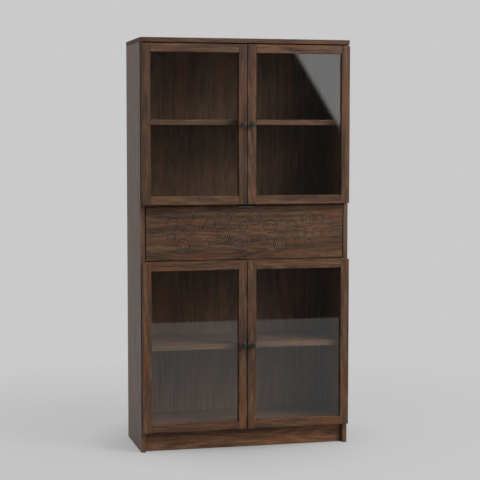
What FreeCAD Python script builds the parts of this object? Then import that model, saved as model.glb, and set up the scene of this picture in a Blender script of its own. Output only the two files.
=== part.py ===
import FreeCAD, Part
import Sketcher
import os
import re

# Bookcase with two pairs of framed glass doors and a drawer between them.
# Lengths are in millimetres. Z is up, the front faces -Y and X runs to the right.
# The origin is on the floor, at the centre of the whole outline with its knobs.

SIZES = {
    # The carcass
    "total_height": 1730, "carcass_width": 900, "carcass_depth": 342, "board": 19,
    "top_overhang": 16, "plinth_height": 85, "plinth_setback": 22, "lower_deck_top": 802.5,
    "edge_ease": 0.8, "overrun": 2, "fit": 0.1,
    # The back panels, held in grooves of the side panels
    "back_setback": 10, "back_thickness": 5, "groove_depth": 7, "groove_play": 0.5,
    # The loose shelves and their pins
    "shelf_thickness": 22, "upper_shelf_rise": 319, "lower_shelf_rise": 321, "shelf_setback": 14,
    "shelf_side_gap": 1.5, "shelf_back_gap": 2, "pin_radius": 2.5, "pin_depth": 9, "pin_reach": 9,
    "pin_collar_radius": 4.5, "pin_collar": 1.2, "pin_line": 60, "pin_pitch": 32,
    # The cam fittings that draw the boards together
    "cam_radius": 7.5, "cam_depth": 13, "cam_distance": 34, "cam_line": 50, "cam_slot_past": 3,
    "cam_cross_length": 9, "cam_cross_width": 1.6, "cam_cross_depth": 2,
    "bolt_radius": 3, "bolt_bore_radius": 4, "bolt_thread": 11,
    # The screws of the carcass
    "screw_radius": 1.75, "screw_length": 14, "screw_head_radius": 3.5, "screw_head": 1.6,
    # The doors
    "door_thickness": 28, "door_gap": 3, "door_inset": 3, "centre_gap": 3,
    "top_reveal": 6, "upper_reveal": 7, "lower_reveal": 2.5, "bottom_reveal": 2,
    "stile_width": 36, "rail_width": 35, "hinge_edge_chamfer": 2,
    "tenon_length": 14, "tenon_thickness": 9, "tenon_setback": 10, "tenon_shoulder": 7,
    "mortise_play": 1, "rebate_width": 6, "lip": 12, "glass_thickness": 4, "glass_play": 1,
    # The concealed hinges
    "hinge_end": 90, "cup_radius": 13, "cup_edge": 3, "cup_depth": 12, "cup_wall": 1,
    "cup_flange": 0.8, "cup_flange_rim": 0.5, "cup_flange_height": 38,
    "hinge_pin_radius": 1.5, "hinge_pin_inset": 8.5, "hinge_pin_depth": 8, "hinge_pin_fit": 0.08,
    "hinge_pin_short": 0.2, "hinge_eye_radius": 2.7, "arm_thickness": 2.5, "arm_width": 8,
    "arm_cover": 5, "arm_cover_width": 14, "arm_cover_start": 14, "arm_cover_length": 44,
    "plate_thickness": 3, "plate_start": 12, "plate_length": 48, "plate_width": 16,
    "wing_line": 37, "wing_length": 14, "wing_height": 44, "wing_screw": 16,
    # The knobs, turned in one piece with their stud and its washer head
    "knob_radius": 12.5, "knob_reach": 22, "knob_rim": 6, "knob_face_ease": 2,
    "knob_neck_radius": 4.5, "knob_neck": 8, "knob_foot_radius": 7, "knob_foot": 1.5,
    "stud_radius": 2, "stud_play": 0.2, "stud_head_radius": 4.5, "stud_head": 1.5,
    # The drawer
    "drawer_front_height": 224.5, "drawer_front_thickness": 20, "drawer_clearance": 3,
    "drawer_side_gap": 4, "drawer_side": 15, "drawer_side_height": 150, "drawer_side_rise": 28,
    "drawer_side_past": 2, "drawer_bottom": 6, "drawer_bottom_rise": 10, "drawer_groove": 6,
    # The carved medallions of the drawer front: their radii and the half-round groove
    "medallion_large": 29, "medallion_medium": 23, "medallion_small": 17.5,
    "medallion_tiny": 10, "carved_groove": 1.7,
    # The telescopic runners
    "runner_length": 300, "runner_height": 45, "runner_width": 12.7, "runner_wall": 1.2,
    "runner_play": 0.3, "runner_start": 21, "runner_screw_end": 40,
    "outer_flange": 9.5, "middle_start": 3.2, "middle_flange": 7.8, "inner_flange": 7.2,
    # The edge pull on the top of the drawer front
    "pull_width": 70, "pull_metal": 1.5, "pull_reach": 12, "pull_lip": 7.5, "pull_seat": 17,
    "pull_bend": 2,
    # The wall brackets under the top panel
    "bracket_spread": 600, "bracket_width": 30, "bracket_leg": 40, "bracket_metal": 2,
    "bracket_hole_radius": 3, "bracket_hole_drop": 24, "bracket_screw_near": 12,
    "bracket_screw_far": 28, "wall_hole_radius": 4,
}
# Centres of the medallions across and up the drawer front, and the kind of each
MEDALLION_SHARES = (
    (0.131, 0.690, "medium"), (0.206, 0.801, "medium"), (0.211, 0.564, "medium"),
    (0.125, 0.436, "small"), (0.182, 0.260, "large"), (0.271, 0.611, "tiny"),
    (0.319, 0.680, "medium"), (0.301, 0.295, "small"), (0.388, 0.769, "large"),
    (0.382, 0.440, "large"), (0.450, 0.298, "large"), (0.487, 0.614, "small"),
    (0.515, 0.350, "small"), (0.545, 0.771, "large"), (0.583, 0.359, "medium"),
    (0.624, 0.619, "large"), (0.675, 0.277, "large"), (0.734, 0.613, "medium"),
    (0.760, 0.334, "tiny"), (0.784, 0.487, "medium"), (0.819, 0.735, "large"),
    (0.821, 0.272, "small"), (0.867, 0.466, "medium"), (0.880, 0.732, "small"),
)
RING_SHARES = {
    "large": (1, 0.76, 0.5, 0.24), "medium": (1, 0.7, 0.38), "small": (1, 0.6), "tiny": (1, 0.5),
}
PIN_HOLES_EACH_WAY = 2
NEARLY_ZERO = 1e-6
QUARTER_TURN = 90
THIRD_TURN = 120

# Places that several pieces share, worked out from the sizes
PLACES = {
    "half_width": "carcass_width / 2",
    "side_x": "half_width - board",
    "back_y": "(carcass_depth + door_gap + door_thickness + knob_reach) / 2",
    "front_y": "back_y - carcass_depth",
    "door_back_y": "front_y - door_gap",
    "door_front_y": "door_back_y - door_thickness",
    "back_panel_y": "back_y - back_setback - back_thickness",
    "inner_depth": "back_panel_y - front_y",
    "top_z": "total_height - board",
    "floor_z": "plinth_height + board",
    "lower_deck_z": "lower_deck_top - board",
    "upper_deck_z": "lower_deck_top + drawer_front_height + 2 * drawer_clearance",
    "upper_floor_z": "upper_deck_z + board",
    "upper_shelf_z": "upper_floor_z + upper_shelf_rise",
    "lower_shelf_z": "floor_z + lower_shelf_rise",
    "door_x": "-half_width + door_inset",
    "door_width": "half_width - door_inset - centre_gap / 2",
    "hinge_x": "door_x + hinge_pin_inset",
    "hinge_y": "door_back_y - hinge_pin_depth",
    "cup_x": "door_x + cup_edge + cup_radius",
    "cavity_radius": "cup_radius - cup_wall",
    "drawer_z": "lower_deck_top + drawer_clearance",
    "drawer_back_y": "front_y + drawer_front_thickness",
    "drawer_side_x": "side_x - runner_width",
    "drawer_side_z": "drawer_z + drawer_side_rise",
    "drawer_side_length": "runner_start - drawer_front_thickness + runner_length + drawer_side_past",
    "runner_z": "drawer_side_z + drawer_side_height / 2",
}
DOORS = {
    "upper": ("upper_deck_z + upper_reveal", "top_z - top_reveal"),
    "lower": ("plinth_height + bottom_reveal", "lower_deck_top - lower_reveal"),
}
TURNS = {
    "x": FreeCAD.Rotation(FreeCAD.Vector(0, 1, 0), QUARTER_TURN),
    "-x": FreeCAD.Rotation(FreeCAD.Vector(0, 1, 0), -QUARTER_TURN),
    "y": FreeCAD.Rotation(FreeCAD.Vector(1, 0, 0), -QUARTER_TURN),
    "-y": FreeCAD.Rotation(FreeCAD.Vector(1, 0, 0), QUARTER_TURN),
    "z": FreeCAD.Rotation(),
    "-z": FreeCAD.Rotation(FreeCAD.Vector(1, 0, 0), 2 * QUARTER_TURN),
}

doc = FreeCAD.newDocument("Bookcase")
sheet = doc.addObject("Spreadsheet::Sheet", "Sizes")
for row, (alias, value) in enumerate(SIZES.items(), start=1):
    sheet.set(f"A{row}", str(value))
    sheet.setAlias(f"A{row}", alias)
doc.recompute()

nodes = []


def terms(text):
    """Turn the plain names in an expression into names of the sheet."""
    def swap(match):
        word = match.group(0)
        if word in PLACES:
            return f"({terms(PLACES[word])})"
        return f"Sizes.{word}" if word in SIZES else word
    return re.sub(r"[a-z_]+", swap, text)


def bind(thing, prop, text):
    thing.setExpression(prop, terms(text))


def place(thing, corner, turn="z"):
    """Put a thing's own origin at a point given by three expressions."""
    thing.Placement = FreeCAD.Placement(FreeCAD.Vector(), TURNS[turn])
    for axis, text in zip("xyz", corner):
        bind(thing, f"Placement.Base.{axis}", text)


def box(corner, size, name="Block"):
    block = doc.addObject("Part::Box", name)
    for prop, text in zip(("Length", "Width", "Height"), size):
        bind(block, prop, text)
    place(block, corner)
    return block


def rod(start, radius, length, direction, name="Rod"):
    cylinder = doc.addObject("Part::Cylinder", name)
    bind(cylinder, "Radius", radius)
    bind(cylinder, "Height", length)
    place(cylinder, start, direction)
    return cylinder


def group(pieces, name="Group"):
    compound = doc.addObject("Part::Compound", name)
    compound.Links = pieces
    return compound


def fuse(pieces, name="Fused"):
    joined = doc.addObject("Part::MultiFuse", name)
    joined.Shapes = pieces
    return joined


def cut(base, tools, name="Trimmed"):
    result = doc.addObject("Part::Cut", name)
    result.Base = base
    result.Tool = tools[0] if len(tools) == 1 else group(tools, "Tools")
    return result


def mirror(source, name="Mirrored"):
    """Repeat a piece on the other side of the middle plane."""
    copy = doc.addObject("Part::Mirroring", name)
    copy.Source = source
    copy.Normal = FreeCAD.Vector(1, 0, 0)
    return copy


def node(thing, label):
    thing.Label = label
    nodes.append(thing)
    return thing


def pair_of_nodes(thing, label_left, label_right):
    node(thing, label_left)
    node(mirror(thing), label_right)


def node_on_both_sides(pieces, label):
    half = group(pieces)
    return node(group([half, mirror(half)]), label)


def origin_plane(body, role):
    return next(part for part in body.Origin.OriginFeatures if part.Role == role)


def outline(body, role, points):
    """Draw a closed outline on a plane of the body, each corner held by two distances."""
    sketch = body.newObject("Sketcher::SketchObject", "Outline")
    sketch.AttachmentSupport = [(origin_plane(body, role), "")]
    sketch.MapMode = "FlatFace"
    count = len(points)
    spots = [FreeCAD.Rotation(FreeCAD.Vector(0, 0, 1), 4 * QUARTER_TURN * number / count)
             .multVec(FreeCAD.Vector(1, 0, 0)) for number in range(count)]
    for number in range(count):
        sketch.addGeometry(Part.LineSegment(spots[number], spots[(number + 1) % count]))
    for number in range(count):
        sketch.addConstraint(Sketcher.Constraint("Coincident", number, 2, (number + 1) % count, 1))
    for number, point in enumerate(points):
        for kind, text in zip(("DistanceX", "DistanceY"), point):
            index = sketch.addConstraint(Sketcher.Constraint(kind, -1, 1, number, 1, 0.0))
            bind(sketch, f"Constraints[{index}]", text)
    return sketch


def facing(shape, direction):
    """Names of the flat faces that look in a direction."""
    wanted = FreeCAD.Vector(*direction)
    return [f"Face{number}" for number, face in enumerate(shape.Faces, start=1)
            if face.normalAt(0, 0).isEqual(wanted, NEARLY_ZERO)]


def edges_along(shape, axis, reach):
    """Names of the straight edges along an axis whose middle lies within reach of a corner.

    Reach gives, for each axis that matters, the side of the bounding box and a distance."""
    box_of = shape.BoundBox
    names = []
    for number, edge in enumerate(shape.Edges, start=1):
        middle = edge.CenterOfMass
        direction = edge.tangentAt(edge.FirstParameter)
        near = all(
            abs(getattr(middle, side[0]) - getattr(box_of, f"{side[0].upper()}{side[1:]}")) < distance
            for side, distance in reach.items())
        if near and abs(abs(getattr(direction, axis)) - 1) < NEARLY_ZERO:
            names.append(f"Edge{number}")
    return names


def pad(body, sketch, length):
    solid = body.newObject("PartDesign::Pad", "Pad")
    solid.Profile = sketch
    bind(solid, "Length", length)
    body.Tip = solid
    doc.recompute()
    return solid


def ease(body, edges, size):
    """Break the named edges or the edges of the named faces of a body."""
    solid = body.Tip
    chamfer = body.newObject("PartDesign::Chamfer", "EasedEdges")
    chamfer.Base = (solid, edges)
    bind(chamfer, "Size", size)
    body.Tip = chamfer
    doc.recompute()


def board(corner, size, eased=((0, -1, 0),), name="Board"):
    """A flat board as a body: its corner, its three sizes and the faces with eased edges."""
    body = doc.addObject("PartDesign::Body", name)
    length, width, height = size
    sketch = outline(body, "XY_Plane", [("0", "0"), (length, "0"), (length, width), ("0", width)])
    pad(body, sketch, height)
    for direction in eased:
        ease(body, facing(body.Tip.Shape, direction), "edge_ease")
    place(body, corner)
    return body


def screw(seat, direction):
    """A pan-head screw whose head stands on its seat and whose shank runs in a direction."""
    axis = direction[-1]
    sign, back = ("-", "+") if direction.startswith("-") else ("+", "-")
    head = list(seat)
    head["xyz".index(axis)] += f" {back} screw_head"
    shank = rod(seat, "screw_radius", "screw_length", direction, "Shank")
    return fuse([rod(head, "screw_head_radius", "screw_head", direction, "Head"), shank], "Screw")


def screw_hole(seat, direction):
    """The hole for a screw: from a little above its seat to the end of its shank."""
    axis = direction[-1]
    back = "+" if direction.startswith("-") else "-"
    start = list(seat)
    start["xyz".index(axis)] += f" {back} overrun"
    return rod(start, "screw_radius + fit", "screw_length + overrun", direction, "ScrewHole")


def make_screws():
    """Seats of the screws of the left half, each with the way its screw points."""
    seats = []
    for centre in hinge_heights():
        for side in "+-":
            seats.append((["-side_x + plate_thickness", "front_y + wing_line",
                           f"{centre} {side} wing_screw"], "-x"))
    for along in ("runner_start + runner_screw_end", "runner_start + runner_length - runner_screw_end"):
        seats.append((["-side_x + runner_wall", f"front_y + {along}", "runner_z"], "-x"))
    for inward in ("bracket_screw_near", "bracket_screw_far"):
        seats.append((["-bracket_spread / 2", f"back_panel_y - {inward}",
                       "top_z - bracket_metal"], "z"))
    return seats


def hinge_heights():
    heights = []
    for bottom, top in DOORS.values():
        heights += [f"({bottom} + hinge_end)", f"({top} - hinge_end)"]
    return heights


def pin_spots():
    """The places of the left shelf pins as pairs of Y and Z, and of every hole for them."""
    pins, holes = [], []
    for shelf in ("upper_shelf_z", "lower_shelf_z"):
        for along in ("front_y + pin_line", "back_panel_y - pin_line"):
            pins.append((along, f"{shelf} - pin_radius"))
            for step in range(-PIN_HOLES_EACH_WAY, PIN_HOLES_EACH_WAY + 1):
                holes.append((along, f"{shelf} - pin_radius + {step} * pin_pitch"))
    return pins, holes


def make_cams():
    """Cam fittings of the left half: cams, bolts, and the holes in each board for them."""
    cams, bolts, holes = [], [], {name: [] for name in ("side", "top", *DECKS)}
    for along in ("front_y + cam_line", "back_panel_y - cam_line"):
        for deck, under in DECKS.items():
            middle = f"{under} + board / 2"
            centre = ["-side_x + cam_distance", along, under]
            cams.append(cam(centre, "z", ["-side_x", along, middle], "x"))
            bolts.append(rod(["-side_x - bolt_thread", along, middle], "bolt_radius",
                             "bolt_thread + cam_distance", "x", "Bolt"))
            holes["side"].append(rod(["-side_x - bolt_thread", along, middle],
                                     "bolt_radius + fit", "bolt_thread + overrun", "x", "BoltHole"))
            holes[deck] += [
                rod(["-side_x - overrun", along, middle], "bolt_bore_radius",
                    "cam_distance + overrun", "x", "BoltBore"),
                rod([centre[0], along, f"{under} - overrun"], "cam_radius + fit",
                    "cam_depth + overrun", "z", "CamBore")]
        edge = "-half_width + board / 2"
        centre = ["-side_x", along, "top_z - cam_distance"]
        cams.append(cam(centre, "-x", [edge, along, "top_z"], "-z"))
        bolts.append(rod([edge, along, "top_z - cam_distance"], "bolt_radius",
                         "bolt_thread + cam_distance", "z", "Bolt"))
        holes["top"].append(rod([edge, along, "top_z - overrun"], "bolt_radius + fit",
                                "bolt_thread + overrun", "z", "BoltHole"))
        holes["side"] += [
            rod([edge, along, "top_z - cam_distance"], "bolt_bore_radius",
                "cam_distance + overrun", "z", "BoltBore"),
            rod(["-side_x + overrun", along, centre[2]], "cam_radius + fit",
                "cam_depth + overrun", "-x", "CamBore")]
    return cams, bolts, holes


def cam(seat, direction, bolt_start, bolt_direction):
    """A round cam with a slot for its bolt and a cross for the driver in its open face."""
    drum = rod(seat, "cam_radius", "cam_depth", direction, "Drum")
    slot = rod(bolt_start, "bolt_radius + 2 * fit", "cam_distance + cam_slot_past",
               bolt_direction, "BoltSlot")
    bars = []
    for wide, tall in (("cam_cross_length", "cam_cross_width"), ("cam_cross_width", "cam_cross_length")):
        if direction == "z":
            corner = [f"{seat[0]} - {wide} / 2", f"{seat[1]} - {tall} / 2", f"{seat[2]} - overrun"]
            size = [wide, tall, "cam_cross_depth + overrun"]
        else:
            corner = [f"{seat[0]} - cam_cross_depth", f"{seat[1]} - {wide} / 2", f"{seat[2]} - {tall} / 2"]
            size = ["cam_cross_depth + overrun", wide, tall]
        bars.append(box(corner, size, "CrossBar"))
    return cut(drum, [fuse([slot, *bars])], "Cam")


DECKS = {"upper_deck": "upper_deck_z", "lower_deck": "lower_deck_z", "bottom_panel": "plinth_height"}


def make_carcass():
    screws = make_screws()
    pins, pin_holes = pin_spots()
    cams, bolts, holes = make_cams()
    side_tools = [
        box(["-side_x - groove_depth", "back_panel_y", "plinth_height"],
            ["groove_depth + overrun", "back_thickness", "top_z - plinth_height + overrun"], "Groove"),
        *[screw_hole(seat, way) for seat, way in screws if way == "-x"],
        *[rod(["-side_x - pin_depth", along, height], "pin_radius + fit", "pin_depth + overrun",
              "x", "PinHole") for along, height in pin_holes]]
    blank = board(["-half_width", "front_y", "0"], ["board", "carcass_depth", "top_z"])
    bored = cut(blank, [fuse(holes["side"])])
    pair_of_nodes(cut(bored, side_tools), "side_panel_left", "side_panel_right")

    top_screws = [screw_hole(seat, way) for seat, way in screws if way == "z"]
    top_holes = holes["top"] + top_screws
    blank = board(["-half_width", "front_y - top_overhang", "top_z"],
                  ["carcass_width", "carcass_depth + top_overhang", "board"],
                  ((0, -1, 0), (0, 0, 1)))
    node(cut(blank, top_holes + [mirror(group(top_holes))]), "top_panel")

    for label, under in DECKS.items():
        blank = board(["-side_x", "front_y", under], ["2 * side_x", "inner_depth", "board"])
        bores = fuse(holes[label])
        node(cut(blank, [bores, mirror(bores)]), label)
    node(board(["-side_x", "front_y + plinth_setback", "0"],
               ["2 * side_x", "board", "plinth_height"]), "plinth")

    split = "(upper_deck_z + board / 2)"
    for label, low, high in (("back_panel_lower", "plinth_height", split),
                             ("back_panel_upper", split, "top_z")):
        sheet_board = box(["-side_x - groove_depth + groove_play", "back_panel_y", low],
                          ["2 * (side_x + groove_depth - groove_play)", "back_thickness",
                           f"{high} - {low}"], "BackSheet")
        if label == "back_panel_upper":
            hole = rod(["-bracket_spread / 2", "back_panel_y - overrun", "top_z - bracket_hole_drop"],
                       "wall_hole_radius", "back_thickness + 2 * overrun", "y", "WallHole")
            sheet_board = cut(sheet_board, [hole, mirror(hole)])
        node(sheet_board, label)

    for label, under in (("shelf_upper", "upper_shelf_z"), ("shelf_lower", "lower_shelf_z")):
        node(board(["-side_x + shelf_side_gap", "front_y + shelf_setback", under],
                   ["2 * (side_x - shelf_side_gap)",
                    "inner_depth - shelf_setback - shelf_back_gap", "shelf_thickness"]), label)

    shelf_pins = [fuse([
        rod(["-side_x - pin_depth", along, height], "pin_radius", "pin_depth + pin_reach", "x"),
        rod(["-side_x", along, height], "pin_collar_radius", "pin_collar", "x")], "ShelfPin")
        for along, height in pins]
    node_on_both_sides(shelf_pins, "shelf_pins")
    node_on_both_sides(cams, "cam_locks")
    node_on_both_sides(bolts, "cam_bolts")
    node_on_both_sides([screw(seat, way) for seat, way in screws], "carcass_screws")
    return screws


def make_brackets(screws):
    """Angle brackets under the top panel, screwed up into it and open to the wall."""
    edge = "-bracket_spread / 2 - bracket_width / 2"
    flat = box([edge, "back_panel_y - bracket_leg", "top_z - bracket_metal"],
               ["bracket_width", "bracket_leg", "bracket_metal"])
    upright = box([edge, "back_panel_y - bracket_metal", "top_z - bracket_leg"],
                  ["bracket_width", "bracket_metal", "bracket_leg"])
    holes = [screw_hole(seat, way) for seat, way in screws if way == "z"]
    holes.append(rod(["-bracket_spread / 2", "back_panel_y - bracket_metal - overrun",
                      "top_z - bracket_hole_drop"], "bracket_hole_radius",
                     "bracket_metal + 2 * overrun", "y"))
    node_on_both_sides([cut(fuse([flat, upright]), holes, "Bracket")], "wall_brackets")


def make_hinge_bases(screws):
    """The parts of the concealed hinges that stay on the side panels."""
    plates, arms = [], []
    holes = [screw_hole(seat, way) for seat, way in screws if "plate_thickness" in seat[0]]
    for centre in hinge_heights():
        rail = box(["-side_x", "front_y + plate_start", f"{centre} - plate_width / 2"],
                   ["plate_thickness", "plate_length", "plate_width"])
        wings = box(["-side_x", "front_y + wing_line - wing_length / 2", f"{centre} - wing_height / 2"],
                    ["plate_thickness", "wing_length", "wing_height"])
        plates.append(cut(fuse([rail, wings]), holes, "HingePlate"))

        low = f"{centre} - arm_width / 2"
        face = "-side_x + plate_thickness"
        cover = box([face, "front_y + arm_cover_start", f"{centre} - arm_cover_width / 2"],
                    ["arm_cover", "arm_cover_length", "arm_cover_width"])
        leg = box([face, "hinge_y - arm_thickness / 2", low],
                  ["arm_thickness", "front_y + arm_cover_start + overrun - hinge_y + arm_thickness / 2",
                   "arm_width"])
        crank = box(["hinge_x", "hinge_y - arm_thickness / 2", low],
                    ["-side_x + plate_thickness + arm_thickness - hinge_x", "arm_thickness", "arm_width"])
        eye = rod(["hinge_x", "hinge_y", low], "hinge_eye_radius", "arm_width", "z", "Eye")
        hole = rod(["hinge_x", "hinge_y", f"{low} - overrun"], "hinge_pin_radius + hinge_pin_fit",
                   "arm_width + 2 * overrun", "z", "EyeHole")
        arms.append(cut(fuse([cover, leg, crank, eye]), [hole], "HingeArm"))
    node_on_both_sides(plates, "hinge_plates")
    node_on_both_sides(arms, "hinge_arms")


def cup(centre):
    """A hinge cup with its flange on the door's back and its pin across the hollow."""
    floor = "door_back_y - cup_depth"
    shell = rod(["cup_x", floor, centre], "cup_radius", "cup_depth", "y", "CupShell")
    reach = "(cavity_radius + cup_flange_rim)"
    flange = box([f"cup_x - {reach}", "door_back_y", f"{centre} - cup_flange_height / 2"],
                 [f"2 * {reach}", "cup_flange", "cup_flange_height"], "CupFlange")
    hollow = rod(["cup_x", f"{floor} + cup_wall", centre], "cavity_radius",
                 "cup_depth + cup_flange + overrun", "y", "CupHollow")
    far = "(cup_x - hinge_x + hinge_pin_radius)"
    half = f"(sqrt(cup_radius * cup_radius - {far} * {far}) - hinge_pin_short)"
    pin = rod(["hinge_x", "hinge_y", f"{centre} - {half}"], "hinge_pin_radius", f"2 * {half}", "z",
              "HingePin")
    return fuse([cut(fuse([shell, flange]), [hollow]), pin], "HingeCup")


def bead(corner, length, upright, inner_first):
    """A mitred glazing bead: a wedge whose long side lies on the frame."""
    wedge = doc.addObject("Part::Wedge", "Bead")
    depth = "door_thickness - lip - glass_thickness"
    long_side, short_side = ("0", length), ("rebate_width", f"{length} - rebate_width")
    first, last = (short_side, long_side) if inner_first else (long_side, short_side)
    for props, texts in ((("Xmin", "Xmax"), first), (("X2min", "X2max"), last),
                         (("Ymin", "Ymax"), ("0", "rebate_width")),
                         (("Zmin", "Zmax"), ("0", depth)), (("Z2min", "Z2max"), ("0", depth))):
        for prop, text in zip(props, texts):
            bind(wedge, prop, text)
    place(wedge, corner)
    if upright:
        turn = FreeCAD.Rotation(FreeCAD.Vector(1, 1, 1), 2 * THIRD_TURN)
    else:
        turn = TURNS["-y"]
    wedge.Placement.Rotation = turn
    return wedge


def knob(low, high):
    """A turned knob with its stud through the stile and a washer head behind it."""
    body = doc.addObject("PartDesign::Body", "Knob")
    face = "(-knob_reach)"
    points = [("0", face), ("knob_radius - knob_face_ease", face),
              ("knob_radius", f"{face} + knob_face_ease"), ("knob_radius", f"{face} + knob_rim"),
              ("knob_neck_radius", "-knob_neck"), ("knob_neck_radius", "-knob_foot"),
              ("knob_foot_radius", "-knob_foot"), ("knob_foot_radius", "0"),
              ("stud_radius", "0"), ("stud_radius", "door_thickness"),
              ("stud_head_radius", "door_thickness"),
              ("stud_head_radius", "door_thickness + stud_head"),
              ("0", "door_thickness + stud_head")]
    sketch = outline(body, "XY_Plane", points)
    turned = body.newObject("PartDesign::Revolution", "Turned")
    turned.Profile = sketch
    turned.ReferenceAxis = (sketch, ["V_Axis"])
    body.Tip = turned
    place(body, ["-centre_gap / 2 - stile_width / 2", "door_front_y", f"({low} + {high}) / 2"])
    return body


def make_doors(level, low, high):
    """The left door of a pair and its mirror image, piece by piece."""
    tall = f"({high} - {low})"
    inner = "stile_width - rebate_width"
    inner_rail = "rail_width - rebate_width"
    pocket_corner = [f"door_x + {inner}", "door_front_y + lip", f"{low} + {inner_rail}"]
    pocket_size = [f"(door_width - 2 * ({inner}))", "door_thickness - lip",
                   f"({tall} - 2 * ({inner_rail}))"]
    pocket = box(pocket_corner, [pocket_size[0], f"{pocket_size[1]} + overrun", pocket_size[2]],
                 "GlassPocket")
    rail_x = "door_x + stile_width"
    rail_end_x = "(door_x + door_width - stile_width)"
    tenon_y = "door_front_y + tenon_setback"
    tenon_tall = "rail_width - rebate_width - tenon_shoulder"
    tenon_low = f"{low} + tenon_shoulder"
    tenon_high = f"{high} - tenon_shoulder - ({tenon_tall})"

    def tongue(start, length, height):
        return box([start, tenon_y, height], [length, "tenon_thickness", tenon_tall], "Tongue")

    deep = "tenon_length + mortise_play"
    hinge_mortises = [tongue(f"{rail_x} - ({deep})", f"{deep} + overrun", height)
                      for height in (tenon_low, tenon_high)]
    latch_mortises = [tongue(f"{rail_end_x} - overrun", f"{deep} + overrun", height)
                      for height in (tenon_low, tenon_high)]
    centres = [f"({low} + hinge_end)", f"({high} - hinge_end)"]
    cup_holes = [rod(["cup_x", "door_back_y - cup_depth", centre], "cup_radius + fit",
                     "cup_depth + overrun", "y", "CupHole") for centre in centres]
    knob_hole = rod(["-centre_gap / 2 - stile_width / 2", "door_front_y - overrun",
                     f"({low} + {high}) / 2"], "stud_radius + stud_play",
                    "door_thickness + 2 * overrun", "y", "KnobHole")

    def name(side, piece):
        return f"{level}_{side}_door_{piece}"

    def pair(thing, piece):
        pair_of_nodes(thing, name("left", piece), name("right", piece))

    stile_size = ["stile_width", "door_thickness", tall]
    stile = board(["door_x", "door_front_y", low], stile_size)
    near = SIZES["edge_ease"] / 2
    ease(stile, edges_along(stile.Tip.Shape, "z", {"xMin": near, "yMax": near}), "hinge_edge_chamfer")
    pair(cut(stile, [pocket, *hinge_mortises, *cup_holes]), "hinge_stile")
    pair(cut(board(["-centre_gap / 2 - stile_width", "door_front_y", low], stile_size),
             [pocket, *latch_mortises, knob_hole]), "latch_stile")
    for piece, start, height in (("bottom_rail", low, tenon_low),
                                 ("top_rail", f"{high} - rail_width", tenon_high)):
        blank = board([rail_x, "door_front_y", start],
                      ["door_width - 2 * stile_width", "door_thickness", "rail_width"])
        pair(fuse([cut(blank, [pocket]), tongue(f"{rail_x} - tenon_length", "tenon_length", height),
                   tongue(rail_end_x, "tenon_length", height)]), piece)

    pair(box([f"{pocket_corner[0]} + glass_play", pocket_corner[1], f"{pocket_corner[2]} + glass_play"],
             [f"{pocket_size[0]} - 2 * glass_play", "glass_thickness",
              f"{pocket_size[2]} - 2 * glass_play"], "Pane"), "glass")
    left, _, bottom = pocket_corner
    front = "door_front_y + lip + glass_thickness"
    far_x = f"{left} + {pocket_size[0]} - rebate_width"
    far_z = f"{bottom} + {pocket_size[2]} - rebate_width"
    beads = [bead([left, front, bottom], pocket_size[2], True, False),
             bead([far_x, front, bottom], pocket_size[2], True, True),
             bead([left, "door_back_y", bottom], pocket_size[0], False, False),
             bead([left, "door_back_y", far_z], pocket_size[0], False, True)]
    pair(group(beads), "glazing_beads")
    pair(knob(low, high), "knob")
    pair(group([cup(centre) for centre in centres]), "hinge_cups")


def carving(corner, size):
    """Ring-shaped cutters that sink the medallions' grooves into the drawer front."""
    rings = []
    for across_share, up_share, kind in MEDALLION_SHARES:
        centre = [f"{corner[0]} + {across_share} * {size[0]}", corner[1],
                  f"{corner[2]} + {up_share} * {size[2]}"]
        for ring_share in RING_SHARES[kind]:
            ring = doc.addObject("Part::Torus", "Ring")
            bind(ring, "Radius1", f"{ring_share} * medallion_{kind}")
            bind(ring, "Radius2", "carved_groove")
            place(ring, centre, "y")
            rings.append(ring)
    return fuse(rings, "Carving")


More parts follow.
